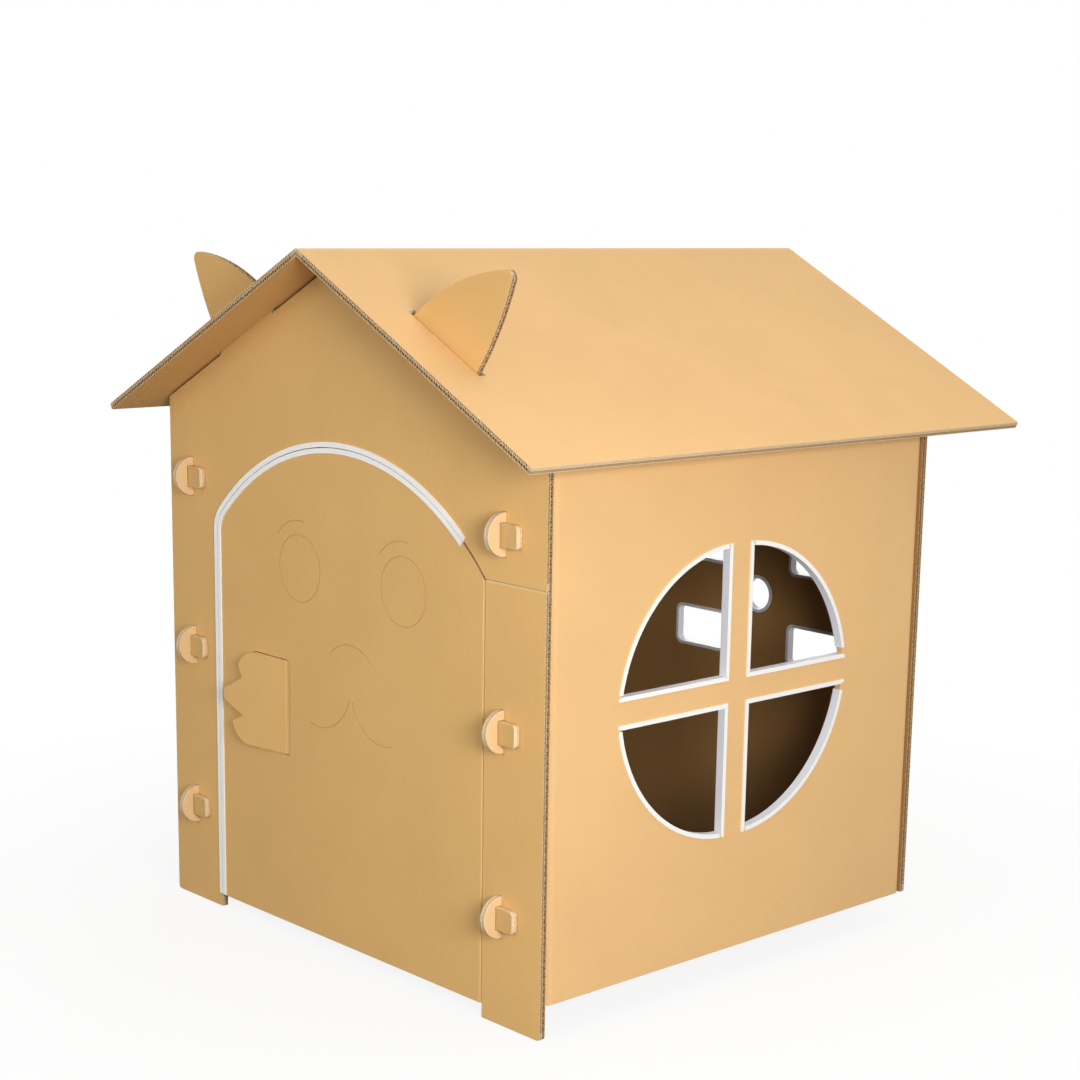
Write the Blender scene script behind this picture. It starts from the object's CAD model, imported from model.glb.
import collections
import math

import bmesh
import bpy
from mathutils import Matrix, Vector


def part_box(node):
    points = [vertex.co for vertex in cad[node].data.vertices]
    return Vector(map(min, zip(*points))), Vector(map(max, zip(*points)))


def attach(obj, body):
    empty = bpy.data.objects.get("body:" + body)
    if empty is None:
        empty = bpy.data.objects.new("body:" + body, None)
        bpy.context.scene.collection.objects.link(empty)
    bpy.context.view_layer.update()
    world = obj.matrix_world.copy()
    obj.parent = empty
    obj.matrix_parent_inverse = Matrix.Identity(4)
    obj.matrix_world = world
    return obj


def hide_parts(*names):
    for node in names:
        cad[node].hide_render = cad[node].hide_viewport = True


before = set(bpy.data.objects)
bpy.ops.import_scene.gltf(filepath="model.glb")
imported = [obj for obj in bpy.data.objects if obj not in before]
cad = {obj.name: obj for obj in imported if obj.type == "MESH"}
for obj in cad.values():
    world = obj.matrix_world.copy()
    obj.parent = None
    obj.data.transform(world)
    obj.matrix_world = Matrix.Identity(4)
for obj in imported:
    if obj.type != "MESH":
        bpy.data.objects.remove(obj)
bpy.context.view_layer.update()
scene = bpy.context.scene
scene.view_settings.view_transform = "Standard"


# ---------------------------------------------------------------- camera
# A long lens stands off the front right corner, a little above the eaves. The frame is shifted up and
# to the left, so that the house sits low in it, and the camera leans by about one degree.

LENS_MM = 71.92
SENSOR_MM = 36.0
SHIFT_LEFT = 0.0556
SHIFT_UP = 0.1065
STAND = Vector((1.9665, -1.8377, 0.8959))
TURN = math.radians(45.868)
DIP = math.radians(11.982)
LEAN = math.radians(1.234)

away = Vector((-math.sin(TURN) * math.cos(DIP), math.cos(TURN) * math.cos(DIP), -math.sin(DIP)))
level_right = Vector((math.cos(TURN), math.sin(TURN), 0))
level_up = level_right.cross(away)
right = level_right * math.cos(LEAN) + level_up * math.sin(LEAN)
up = right.cross(away)
camera_data = bpy.data.cameras.new("camera")
camera_data.lens = LENS_MM
camera_data.sensor_width = SENSOR_MM
camera_data.shift_x = -SHIFT_LEFT
camera_data.shift_y = SHIFT_UP
camera = bpy.data.objects.new("camera", camera_data)
camera.matrix_world = Matrix.Translation(STAND) @ Matrix((right, up, -away)).transposed().to_4x4()
scene.collection.objects.link(camera)
scene.camera = camera


# ---------------------------------------------------------------- studio
# A seamless white floor and a white surround, with soft lamps off the window side, overhead, in front,
# and behind the far corner for the two walls that the others leave in shade.

FLOOR_HALF = 9.0
FLOOR_WHITE = (0.80, 0.80, 0.80, 1)
FLOOR_GREY = (0.20, 0.20, 0.20, 1)
SHADOW_REACH = (0.5, 1.15)
SHADOW_GLOW = (0.88, 1.0)
PURE_WHITE = (1, 1, 1, 1)
SURROUND_WHITE = (1.0, 0.985, 0.96, 1)
SURROUND_LEVEL = 0.40
LAMP_WHITE = (1.0, 0.98, 0.95)


def add_node(tree, kind, *inputs, output=0, **settings):
    """Adds a shader node. Its inputs are plain values, other nodes' outputs, or None to leave one alone."""
    made = tree.nodes.new("ShaderNode" + kind)
    for name, value in settings.items():
        setattr(made, name, value)
    for socket, value in zip(made.inputs, inputs):
        if isinstance(value, bpy.types.NodeSocket):
            tree.links.new(value, socket)
        elif value is not None:
            socket.default_value = value
    return made.outputs[output] if made.outputs else made


def add_object(name, data):
    """Puts a mesh or a lamp into the scene."""
    made = bpy.data.objects.new(name, data)
    scene.collection.objects.link(made)
    return made


def add_shape(name, bm):
    """Puts a finished bmesh into the scene, and frees it."""
    mesh = bpy.data.meshes.new(name)
    bm.to_mesh(mesh)
    bm.free()
    return add_object(name, mesh)


def seen_directly(tree):
    """One for rays from the camera, off gloss and through glass, and zero for light on the object."""
    rays = tree.nodes.new("ShaderNodeLightPath")
    either = add_node(
        tree, "Math", rays.outputs["Is Camera Ray"], rays.outputs["Is Glossy Ray"], operation="MAXIMUM",
    )
    return add_node(tree, "Math", either, rays.outputs["Is Transmission Ray"], operation="MAXIMUM")


def add_lamp(name, place, aim_height, size, power):
    """A soft square lamp, aimed at a height on the upright line through the middle of the house."""
    data = bpy.data.lights.new(name, "AREA")
    data.shape = "SQUARE"
    data.size = size
    data.energy = power
    data.color = LAMP_WHITE
    lamp = add_object(name, data)
    lamp.location = place
    lamp.rotation_euler = (Vector((0, 0, aim_height)) - Vector(place)).to_track_quat("-Z", "Y").to_euler()
    lamp.visible_camera = False


world = bpy.data.worlds.new("surround")
world.use_nodes = True
scene.world = world
sky = world.node_tree
sky.nodes.clear()
white_sky = add_node(sky, "Background", PURE_WHITE, 1.0)
soft_sky = add_node(sky, "Background", SURROUND_WHITE, SURROUND_LEVEL)
either_sky = add_node(sky, "MixShader", seen_directly(sky), soft_sky, white_sky)
add_node(sky, "OutputWorld", either_sky)

floor_paint = bpy.data.materials.new("floor_paint")
floor_paint.use_nodes = True
paint = floor_paint.node_tree
paint.nodes.clear()
seen = seen_directly(paint)
matt = add_node(paint, "BsdfDiffuse", add_node(paint, "MixRGB", seen, FLOOR_GREY, FLOOR_WHITE))
glow = add_node(paint, "Emission", PURE_WHITE, 1.0)
spot = paint.nodes.new("ShaderNodeTexCoord").outputs["Object"]
from_middle = add_node(paint, "VectorMath", spot, operation="LENGTH", output=1)
fade = add_node(paint, "MapRange", from_middle, *SHADOW_REACH, *SHADOW_GLOW)
glow_share = add_node(paint, "Math", seen, fade, operation="MULTIPLY")
add_node(paint, "OutputMaterial", add_node(paint, "MixShader", glow_share, matt, glow))

floor_sheet = bmesh.new()
bmesh.ops.create_grid(floor_sheet, x_segments=1, y_segments=1, size=FLOOR_HALF)
floor = add_shape("floor", floor_sheet)
floor.data.materials.append(floor_paint)

add_lamp("window_side_lamp", (2.1, -1.12, 0.86), aim_height=0.38, size=0.8, power=41)
add_lamp("overhead_lamp", (0.9, 0.5, 3.6), aim_height=0.4, size=2.2, power=41)
add_lamp("front_lamp", (-0.3, -4.5, 1.25), aim_height=0.35, size=2.6, power=46)
add_lamp("back_lamp", (-2.6, 3.4, 1.2), aim_height=0.35, size=2.4, power=62)


# ---------------------------------------------------------------- roof
# One sheet of double-wall board folded over the ridge, with its flutes along the ridge, so that the
# two gable edges show every flute end. The outer facing is brown kraft liner, cut with a steel rule.

# the board: a fine flute under the outer liner, a coarse one behind it, and how its cut edges open
BOARD = 0.008
LINER = 0.0005
FINE_PITCH = 0.0062
FINE_HEIGHT = 0.0026
COARSE_PITCH = 0.0088
COARSE_HEIGHT = 0.0039
FLUTE_LAYERS = (
    (LINER, FINE_HEIGHT, FINE_PITCH),
    (LINER * 2 + FINE_HEIGHT, COARSE_HEIGHT, COARSE_PITCH),
)
FLUTE_DEPTH = 0.012
OPEN_SHARE = 0.7
NARROW_SHARE = 0.2
HEIGHT_SHARE = 0.93
EDGE_MARGIN = 0.002
PRESSED_DEPTH = 0.001
SAME_PLACE = 1e-6

# the liner: spans of each pattern, and the levels, tones and strengths that they give
NOISE_SPAN = (0.3, 0.7)
FIBRE_SCALE = 140.0
CROSS_FIBRE_SCALE = 900.0
RIB_SCALE = math.pi / 10 / FINE_PITCH
RIB_WAVER = 0.6
RIB_WAVER_DETAIL = 2.0
RIB_WAVER_SCALE = 3.0
MOTTLE_LEVELS = (0.97, 1.025)
FIBRE_LEVELS = (0.965, 1.035)
RIB_LEVELS = (0.996, 1.003)
DARK_FLECK = (0.5, 0.42, 0.34)
DARK_FLECK_SPAN = (0.66, 0.78)
DARK_FLECK_STRENGTH = 0.30
PALE_FLECK = (0.74, 0.60, 0.41, 1)
PALE_FLECK_SPAN = (0.34, 0.24)
PALE_FLECK_STRENGTH = 0.22
WORN_FIBRES = (0.84, 0.66, 0.40, 1)
WORN_CORE = 0.3
WORN_RAGGED = 0.25
ROUGH_CUT_SPAN = (0.35, 0.65)
ROUGH_CUT_LEVELS = (0.86, 1.12)
FACE_ON = 0.6
EDGE_ON = 0.7
SUNK_LINE = (0.90, 0.88, 0.86)
SUNK_FROM = PRESSED_DEPTH * 0.3
KRAFT_ROUGHNESS = (0.66, 0.84)
KRAFT_SHEEN = 0.28
RIB_RELIEF = 0.2
RELIEF_STRENGTH = 0.5
RELIEF_HEIGHT = 0.00008

Edge = collections.namedtuple("Edge", "start across length inward along depth")
Wear = collections.namedtuple("Wear", "axis centre half strength")


def colour(red, green, blue):
    """A colour as paint charts give it, in parts of 255, turned to linear light."""
    parts = [part / 255 for part in (red, green, blue)]
    return tuple(p / 12.92 if p <= 0.04045 else ((p + 0.055) / 1.055) ** 2.4 for p in parts) + (1.0,)


def share_of(tone, shares):
    """A colour with each of its parts cut to a share."""
    return tuple(part * share for part, share in zip(tone, shares)) + (1,)


KRAFT = colour(222, 181, 126)
EDGE_PALE = colour(208, 188, 157)
FINE_BROWN = colour(190, 166, 132)
COARSE_BROWN = colour(142, 114, 84)


def joined_solid(node):
    """The mesh of a part's solid, with its loose triangles joined."""
    bm = bmesh.new()
    bm.from_mesh(cad[node].data)
    bmesh.ops.remove_doubles(bm, verts=bm.verts, dist=SAME_PLACE)
    return bm


def raise_face(bm, face, way):
    """Pulls a face out into a closed prism, and gives the corners of the far end."""
    raised = bmesh.ops.extrude_face_region(bm, geom=[face])["geom"]
    corners = [part for part in raised if isinstance(part, bmesh.types.BMVert)]
    bmesh.ops.translate(bm, verts=corners, vec=way)
    return corners


def carved_board(node, name, cutters):
    """A copy of a board's solid with the shapes in a bmesh taken out of it."""
    bmesh.ops.recalc_face_normals(cutters, faces=cutters.faces)
    board = add_shape(name, joined_solid(node))
    cutter = add_shape(name + "_cutters", cutters)
    cut = board.modifiers.new("cutters", "BOOLEAN")
    cut.operation = "DIFFERENCE"
    cut.solver = "EXACT"
    cut.object = cutter
    bpy.context.view_layer.update()
    graph = bpy.context.evaluated_depsgraph_get()
    finished = bpy.data.meshes.new_from_object(board.evaluated_get(graph))
    finished.name = name
    board.modifiers.clear()
    board.data = finished
    board.data.shade_flat()
    bpy.data.objects.remove(cutter)
    return board


def add_channels(cutters, edge, sunk, height, pitch, open_share):
    """Adds one layer's flute ends along an edge, open towards its outer and its inner liner by turns."""
    turn = Matrix((edge.across, edge.inward, edge.along)).transposed().to_4x4()
    place = Matrix.Translation(edge.start + edge.inward * sunk + edge.across * pitch)
    for open_inwards in (False, True):
        base = bmesh.ops.create_grid(cutters, x_segments=1, y_segments=1, size=0.5)["verts"]
        for corner in base:
            corner.co.x *= pitch * (NARROW_SHARE if corner.co.y > 0 else open_share)
            corner.co.y = (corner.co.y + 0.5) * height * HEIGHT_SHARE
            if open_inwards:
                corner.co.x = pitch / 2 - corner.co.x
                corner.co.y = height - corner.co.y
        corners = base + raise_face(cutters, base[0].link_faces[0], (0, 0, edge.depth))
        bmesh.ops.transform(cutters, matrix=place @ turn, verts=corners)
        faces = list({face for corner in corners for face in corner.link_faces})
        channel = faces + list({side for face in faces for side in face.edges}) + corners
        for step in range(1, int((edge.length - pitch) / pitch)):
            copied = bmesh.ops.duplicate(cutters, geom=channel)["geom"]
            copied_corners = [part for part in copied if isinstance(part, bmesh.types.BMVert)]
            bmesh.ops.translate(cutters, verts=copied_corners, vec=edge.across * pitch * step)


def fluted_board(node, name, edges, open_share=OPEN_SHARE):
    """A copy of a board's solid with the open ends of both layers of flutes cut into its edges.

    An edge is its start on the outer face, its direction and length, the way into the board's
    thickness, and the way along the flutes and how far the channels run. The open share is how much of
    a flute's pitch its channel takes at its widest.
    """
    cutters = bmesh.new()
    for edge in edges:
        for sunk, height, pitch in FLUTE_LAYERS:
            add_channels(cutters, edge, sunk, height, pitch, open_share)
    return carved_board(node, name, cutters)


def coat(piece, finish):
    """Gives a piece one finish all over."""
    piece.data.materials.clear()
    piece.data.materials.append(finish)


def noise(tree, point, scale, detail, roughness):
    return add_node(tree, "TexNoise", point, None, scale, detail, roughness)


def spread(tree, value, span, levels):
    """Turns a span of values into a span of levels."""
    return add_node(tree, "MapRange", value, *span, *levels)


def scaled(tree, tone, level):
    made = add_node(tree, "VectorMath", tone, None, operation="SCALE")
    tree.links.new(level, made.node.inputs["Scale"])
    return made


def parts_of(tree, vector):
    """The X, Y and Z of a vector."""
    return add_node(tree, "SeparateXYZ", vector).node.outputs


def dot(tree, vector, way):
    return add_node(tree, "VectorMath", vector, tuple(way), operation="DOT_PRODUCT", output=1)


def kraft_patterns(tree, point, across):
    """Long fibres, small flecks, and the flutes showing faintly through the liner."""
    stretch = [FIBRE_SCALE if axis == across else CROSS_FIBRE_SCALE for axis in "XYZ"]
    along_fibres = add_node(tree, "Mapping", point, None, None, stretch)
    fibres = noise(tree, along_fibres, scale=1.0, detail=5.0, roughness=0.7)
    flecks = noise(tree, point, scale=620.0, detail=2.0, roughness=0.5)
    ribs = add_node(
        tree, "TexWave", point, RIB_SCALE, RIB_WAVER, RIB_WAVER_DETAIL, RIB_WAVER_SCALE,
        wave_type="BANDS", bands_direction=across, output=1,
    )
    return fibres, flecks, ribs


def kraft_liner(tree, point, liner, fibres, flecks, ribs):
    """The colour of a liner, with its slow mottle, its fibres, and dark and pale flecks."""
    mottle = noise(tree, point, scale=9.0, detail=4.0, roughness=0.55)
    mottle_level = spread(tree, mottle, NOISE_SPAN, MOTTLE_LEVELS)
    fibre_level = spread(tree, fibres, NOISE_SPAN, FIBRE_LEVELS)
    rib_level = spread(tree, ribs, (0.0, 1.0), RIB_LEVELS)
    level = add_node(tree, "Math", mottle_level, fibre_level, operation="MULTIPLY")
    level = add_node(tree, "Math", level, rib_level, operation="MULTIPLY")
    facing = scaled(tree, liner[:3], level)
    dark = spread(tree, flecks, DARK_FLECK_SPAN, (0.0, DARK_FLECK_STRENGTH))
    facing = add_node(tree, "MixRGB", dark, facing, share_of(liner, DARK_FLECK))
    pale = spread(tree, flecks, PALE_FLECK_SPAN, (0.0, PALE_FLECK_STRENGTH))
    return add_node(tree, "MixRGB", pale, facing, PALE_FLECK)


def worn_liner(tree, facing, point, fibres, wear):
    """A crease or an edge where the liner has broken and shows its paler fibres."""
    off = add_node(tree, "Math", parts_of(tree, point)[wear.axis], wear.centre, operation="SUBTRACT")
    off = add_node(tree, "Math", off, None, operation="ABSOLUTE")
    ragged = spread(tree, fibres, NOISE_SPAN, (-wear.half * WORN_RAGGED, wear.half * WORN_RAGGED))
    off = add_node(tree, "Math", off, ragged, operation="ADD")
    close = spread(tree, off, (wear.half, wear.half * WORN_CORE), (0.0, wear.strength))
    return add_node(tree, "MixRGB", close, facing, WORN_FIBRES)


def as_right_half(tree, point, normal):
    """Reads the left half of a mirrored board as if it were the right half."""
    place = parts_of(tree, point)
    facing = parts_of(tree, normal)
    side = add_node(tree, "Math", place["X"], None, operation="SIGN")
    place_x = add_node(tree, "Math", place["X"], None, operation="ABSOLUTE")
    facing_x = add_node(tree, "Math", facing["X"], side, operation="MULTIPLY")
    return (
        add_node(tree, "CombineXYZ", place_x, place["Y"], place["Z"]),
        add_node(tree, "CombineXYZ", facing_x, facing["Y"], facing["Z"]),
    )


def cut_layers(tree, depth, layer_tones, flecks):
    """The layers on a cut edge: three pale liners with the darker fluted layers between."""
    pale, fine_brown, coarse_brown = layer_tones
    layers = add_node(tree, "ValToRGB", depth)
    ramp = layers.node.color_ramp
    ramp.interpolation = "LINEAR"
    ramp.elements[0].color = pale
    ramp.elements[1].color = pale
    for share, tone in (
        (0.07, pale), (0.10, fine_brown), (0.37, fine_brown), (0.40, pale), (0.45, pale),
        (0.48, coarse_brown), (0.90, coarse_brown), (0.93, pale),
    ):
        ramp.elements.new(share).color = tone
    rough_cut = spread(tree, flecks, ROUGH_CUT_SPAN, ROUGH_CUT_LEVELS)
    return scaled(tree, layers, rough_cut)


def board_finish(
    name, liner, across, inward, outer, mirrored=False, edge_axis=None, worn=(),
    layer_tones=(EDGE_PALE, FINE_BROWN, COARSE_BROWN), pressed=False, lining=None,
):
    """Kraft liner on both faces and the layers of the board on its cut edges.

    Across is the axis that the flutes repeat along, inward the way through the thickness from the
    outer face at distance outer, and worn the creases and edges that have gone pale. A mirrored board
    is the same on both sides of the plane X = 0. An edge axis is given where flanges are folded in, so
    that only what faces along that axis is a cut edge. A pressed board has lines sunk in its outer
    face, in which the liner looks darker. A lining is the share of each colour that the browner liner
    on the inner face keeps.
    """
    made = bpy.data.materials.new(name)
    made.use_nodes = True
    tree = made.node_tree
    shader = tree.nodes["Principled BSDF"]
    where = tree.nodes.new("ShaderNodeTexCoord").outputs
    point, normal = where["Object"], where["Normal"]
    fibres, flecks, ribs = kraft_patterns(tree, point, across)
    facing = kraft_liner(tree, point, liner, fibres, flecks, ribs)
    for wear in worn:
        facing = worn_liner(tree, facing, point, fibres, wear)

    point_in, normal_in = as_right_half(tree, point, normal) if mirrored else (point, normal)
    reach_in = dot(tree, point_in, inward)
    depth = spread(tree, reach_in, (outer, outer + BOARD), (0.0, 1.0))
    cut_face = cut_layers(tree, depth, layer_tones, flecks)
    facing_in = dot(tree, normal_in, inward)
    if edge_axis:
        lying = add_node(tree, "Math", parts_of(tree, normal)[edge_axis], None, operation="ABSOLUTE")
        is_edge = add_node(tree, "Math", lying, EDGE_ON, operation="GREATER_THAN")
    else:
        lying = add_node(tree, "Math", facing_in, None, operation="ABSOLUTE")
        is_edge = add_node(tree, "Math", lying, FACE_ON, operation="LESS_THAN")
    if lining:
        is_inner = add_node(tree, "Math", facing_in, FACE_ON, operation="GREATER_THAN")
        lined = add_node(tree, "VectorMath", facing, lining, operation="MULTIPLY")
        facing = add_node(tree, "MixRGB", is_inner, facing, lined)
    if pressed:
        below_line = add_node(tree, "Math", depth, PRESSED_DEPTH / BOARD, operation="GREATER_THAN")
        stands_out = add_node(tree, "Math", reach_in, outer - PRESSED_DEPTH, operation="LESS_THAN")
        clear_of_line = add_node(tree, "Math", below_line, stands_out, operation="MAXIMUM")
        is_edge = add_node(tree, "Math", is_edge, clear_of_line, operation="MULTIPLY")
        sunk = add_node(tree, "Math", depth, SUNK_FROM / BOARD, operation="GREATER_THAN")
        outside_middle = add_node(tree, "Math", depth, 0.5, operation="LESS_THAN")
        sunk = add_node(tree, "Math", sunk, outside_middle, operation="MULTIPLY")
        facing = add_node(tree, "MixRGB", sunk, facing, share_of(liner, SUNK_LINE))
    skin = add_node(tree, "MixRGB", is_edge, facing, cut_face)
    tree.links.new(skin, shader.inputs["Base Color"])

    tree.links.new(spread(tree, fibres, NOISE_SPAN, KRAFT_ROUGHNESS), shader.inputs["Roughness"])
    shader.inputs["Specular IOR Level"].default_value = KRAFT_SHEEN
    shallow_ribs = add_node(tree, "Math", ribs, RIB_RELIEF, operation="MULTIPLY")
    relief = add_node(tree, "Math", fibres, shallow_ribs, operation="ADD")
    bump = tree.nodes.new("ShaderNodeBump")
    bump.inputs["Strength"].default_value = RELIEF_STRENGTH
    bump.inputs["Distance"].default_value = RELIEF_HEIGHT
    tree.links.new(relief, bump.inputs["Height"])
    tree.links.new(bump.outputs[0], shader.inputs["Normal"])
    return made


roof_low, roof_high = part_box("roof")
EAVE_Z = 0.632
RIDGE_Z = 0.8345
RIDGE_ROUND = 0.007
ROOF_OPEN_SHARE = 0.48
ROOF_TONES = (colour(226, 203, 165), colour(208, 182, 145), colour(168, 140, 104))
ROOF_LINING = (0.80, 0.73, 0.58)
RIDGE_WEAR = Wear("X", 0.0, 0.006, 0.35)
roof_inward = Vector((EAVE_Z - RIDGE_Z, 0, -roof_high.x)).normalized()
roof_edges = []
for side in (1, -1):
    fall = Vector((roof_high.x * side, 0, EAVE_Z - RIDGE_Z))
    downhill = fall.normalized()
    inward = Vector((roof_inward.x * side, 0, roof_inward.z)).normalized()
    for rim_y, along_flutes in ((roof_low.y - EDGE_MARGIN, 1), (roof_high.y + EDGE_MARGIN, -1)):
        start = Vector((0, rim_y, RIDGE_Z)) + downhill * RIDGE_ROUND
        roof_edges.append(Edge(
            start, downhill, fall.length - RIDGE_ROUND, inward, Vector((0, along_flutes, 0)), FLUTE_DEPTH,
        ))
roof = fluted_board("roof", "roof_board", roof_edges, open_share=ROOF_OPEN_SHARE)
coat(roof, board_finish(
    "roof_kraft", KRAFT, "X", roof_inward, Vector((0, 0, RIDGE_Z)).dot(roof_inward), mirrored=True,
    worn=(RIDGE_WEAR,), layer_tones=ROOF_TONES, lining=ROOF_LINING,
))
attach(roof, "house")
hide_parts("roof")


# ---------------------------------------------------------------- front wall
# One sheet of the same board with its flutes level: gable, left post, right shoulder and two ears that
# stand through the roof. The upright edges and the ears' rims show the flute ends.

wall_low, wall_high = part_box("front_wall")
post_low, post_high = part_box("hinge_strip")
INTO_WALL = Vector((0, 1, 0))
UP = Vector((0, 0, 1))
FLUTE_START = 0.004
GABLE_END_Z = 0.640
EARS_FROM = 0.700
BACK_OF_EARS = 0.120
FRONT_LINER = colour(223, 180, 115)
WALL_LINING = (0.54, 0.46, 0.35)
outside_x = wall_high.x + EDGE_MARGIN
wall_edges = []
for side, low in ((1, post_high.z + FLUTE_START), (-1, FLUTE_START)):
    into_edge = Vector((-side, 0, 0))
    foot = Vector((side * outside_x, wall_low.y, low))
    wall_edges.append(Edge(foot, UP, GABLE_END_Z - low, INTO_WALL, into_edge, FLUTE_DEPTH))
    rim = Vector((side * outside_x, wall_low.y, EARS_FROM))
    wall_edges.append(Edge(
        rim, UP, wall_high.z - EARS_FROM, INTO_WALL, into_edge, outside_x - BACK_OF_EARS,
    ))
front_wall = fluted_board("front_wall", "front_wall_board", wall_edges)
coat(front_wall, board_finish(
    "front_kraft", FRONT_LINER, "Z", INTO_WALL, wall_low.y, lining=WALL_LINING,
))
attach(front_wall, "house")
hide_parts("front_wall")


# ---------------------------------------------------------------- door sheet
# The post and the leaf are one sheet with an upright crease between them, on which the leaf swings.
# The leaf carries a pressed animal face and a paw-shaped pull folded out of it.

CREASE_X = 0.2525
CREASE_WEAR = Wear("X", CREASE_X, 0.006, 0.12)
SEAM_WEAR = Wear("Z", post_high.z, 0.003, 0.5)
post_foot = Vector((post_high.x + EDGE_MARGIN, post_low.y, FLUTE_START))
post = fluted_board("hinge_strip", "hinge_post_board", [
    Edge(post_foot, UP, post_high.z - FLUTE_START, INTO_WALL, Vector((-1, 0, 0)), FLUTE_DEPTH),
])
coat(post, board_finish(
    "post_kraft", FRONT_LINER, "Z", INTO_WALL, post_low.y, worn=(CREASE_WEAR, SEAM_WEAR),
    lining=WALL_LINING,
))
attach(post, "house")
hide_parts("hinge_strip")

LEAF_TONES = (colour(238, 212, 166), FINE_BROWN, COARSE_BROWN)
PAW_FOLD_X = -0.104
PAW_LOW = 0.229
PAW_HIGH = 0.345
FOLD_GROOVE = ((-0.005, 0.0), (0.0, 0.0007), (0.003, 0.0), (0.003, -0.001), (-0.005, -0.001))
fold = bmesh.new()
groove = [fold.verts.new((PAW_FOLD_X + run, wall_low.y + sunk, PAW_LOW)) for run, sunk in FOLD_GROOVE]
raise_face(fold, fold.faces.new(groove), (0, 0, PAW_HIGH - PAW_LOW))
leaf = carved_board("door_leaf", "leaf_board", fold)
coat(leaf, board_finish(
    "leaf_kraft", FRONT_LINER, "Z", INTO_WALL, post_low.y, worn=(CREASE_WEAR,), layer_tones=LEAF_TONES,
    pressed=True, lining=WALL_LINING,
))
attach(leaf, "door")
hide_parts("door_leaf")


# ---------------------------------------------------------------- side walls
# Each is one sheet scored and folded inwards at both ends, so the flanges lie behind the front and back
# walls. The right one has a round window with a cross of board left in it.

for node in ("right_wall", "left_wall"):
    coat(cad[node], board_finish(
        node + "_kraft", KRAFT, "Z", Vector((-1, 0, 0)), -wall_high.x, mirrored=True, edge_axis="Z",
        lining=WALL_LINING,
    ))


# ---------------------------------------------------------------- back wall
# A plain gable of the same board with a broad foot, four small windows and a round hole between them.
# Its flutes lie level, so their ends show on the two upright edges above the foot.

_, back_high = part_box("back_wall")
SIDE_LIFT = 0.038
back_edges = []
for side in (1, -1):
    foot = Vector((side * (back_high.x + EDGE_MARGIN), back_high.y, SIDE_LIFT + FLUTE_START))
    length = GABLE_END_Z - SIDE_LIFT - FLUTE_START
    back_edges.append(Edge(foot, UP, length, -INTO_WALL, Vector((-side, 0, 0)), FLUTE_DEPTH))
back_wall = fluted_board("back_wall", "back_wall_board", back_edges)
coat(back_wall, board_finish(
    "back_kraft", KRAFT, "Z", -INTO_WALL, -back_high.y, lining=WALL_LINING,
))
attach(back_wall, "house")
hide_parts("back_wall")


# ---------------------------------------------------------------- locks
# Twelve T-shaped keys, with their flutes upright, pass out through both boards, and a small rounded
# wedge of the same board is pushed through the slot in each.

CRUSH = 0.0011
CUT_CORNER = math.radians(40)
FLAT_WITHIN = math.radians(1)
KEY_LINER = colour(224, 190, 144)
WEDGE_LINER = colour(206, 170, 110)
LOCK_TONES = (colour(232, 212, 180), colour(220, 196, 160), colour(208, 180, 142))


def crushed_copy(node, name):
    """A copy of a small board piece, with its cut corners crushed a little by pushing it home."""
    bm = joined_solid(node)
    bmesh.ops.dissolve_limit(bm, angle_limit=FLAT_WITHIN, verts=bm.verts, edges=bm.edges)
    corners = [e for e in bm.edges if len(e.link_faces) == 2 and e.calc_face_angle() > CUT_CORNER]
    bmesh.ops.bevel(
        bm, geom=corners, offset=CRUSH, offset_type="OFFSET", affect="EDGES", segments=2, profile=0.5,
        material=-1, clamp_overlap=True,
    )
    piece = add_shape(name, bm)
    piece.data.shade_flat()
    return piece


for side in ("left", "right"):
    key_low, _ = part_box(f"lock_key_front_{side}_top")
    key_finish = board_finish(
        f"key_kraft_{side}", KEY_LINER, "Y", Vector((1, 0, 0)), key_low.x, layer_tones=LOCK_TONES,
    )
    for end in ("front", "back"):
        wedge_low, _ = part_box(f"lock_wedge_{end}_{side}_top")
        wedge_finish = board_finish(
            f"wedge_kraft_{end}_{side}", WEDGE_LINER, "X", INTO_WALL, wedge_low.y,
            layer_tones=LOCK_TONES,
        )
        for level in ("top", "middle", "bottom"):
            for kind, finish in (("key", key_finish), ("wedge", wedge_finish)):
                node = f"lock_{kind}_{end}_{side}_{level}"
                lock = crushed_copy(node, node + "_board")
                coat(lock, finish)
                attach(lock, "house")
                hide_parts(node)


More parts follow.
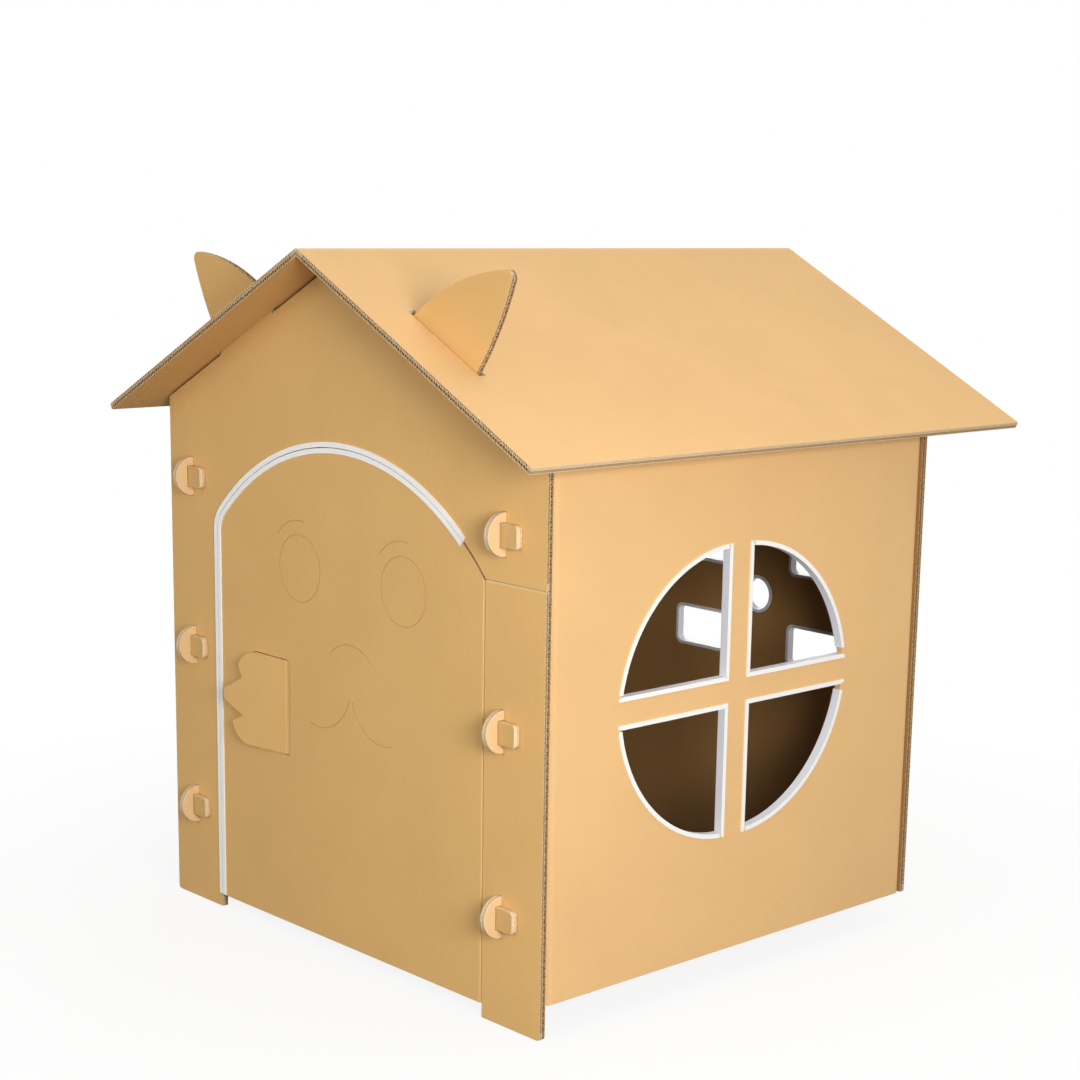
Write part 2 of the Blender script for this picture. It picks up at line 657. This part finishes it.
# ---------------------------------------------------------------- edge strips
# White extruded plastic of U section, pushed over the cut edges of the door arch, the round window
# and the back windows.

WINDOW_WHITE = (0.84, 0.835, 0.815, 1)
DOOR_WHITE = (0.95, 0.945, 0.93, 1)
WEB_WHITE = (0.88, 0.90, 0.98, 1)
DUST = (0.78, 0.77, 0.76, 1)
DUST_SPAN = (0.35, 0.65)
DUST_STRENGTH = 0.08
PLASTIC_ROUGHNESS = (0.34, 0.48)
PLASTIC_IOR = 1.5
BEHIND_FACE = 0.0006
OFF_FACE = 0.0002


def strip_plastic(name, lip_white, lip_axis, board_face, outwards):
    """White plastic, warm on the lips that stand off the board's face and cooler on all behind them."""
    made = bpy.data.materials.new(name)
    made.use_nodes = True
    tree = made.node_tree
    shader = tree.nodes["Principled BSDF"]
    point = tree.nodes.new("ShaderNodeTexCoord").outputs["Object"]
    lip_starts = (board_face - BEHIND_FACE * outwards, board_face + OFF_FACE * outwards)
    on_lip = spread(tree, parts_of(tree, point)[lip_axis], lip_starts, (0.0, 1.0))
    tone = add_node(tree, "MixRGB", on_lip, WEB_WHITE, lip_white)
    haze = noise(tree, point, scale=40.0, detail=3.0, roughness=0.5)
    dusty = spread(tree, haze, DUST_SPAN, (0.0, DUST_STRENGTH))
    tree.links.new(add_node(tree, "MixRGB", dusty, tone, DUST), shader.inputs["Base Color"])
    draw_marks = noise(tree, point, scale=1500.0, detail=2.0, roughness=0.5)
    tree.links.new(spread(tree, draw_marks, NOISE_SPAN, PLASTIC_ROUGHNESS), shader.inputs["Roughness"])
    shader.inputs["IOR"].default_value = PLASTIC_IOR
    return made


for kind, lip_white, lip_axis, board_face, outwards in (
    ("window", WINDOW_WHITE, "X", wall_high.x, 1),
    ("door", DOOR_WHITE, "Y", wall_low.y, -1),
    ("back", WINDOW_WHITE, "Y", back_high.y, 1),
):
    plastic = strip_plastic(kind + "_strip_plastic", lip_white, lip_axis, board_face, outwards)
    for node, solid in cad.items():
        if node.startswith(kind + "_strip"):
            coat(solid, plastic)
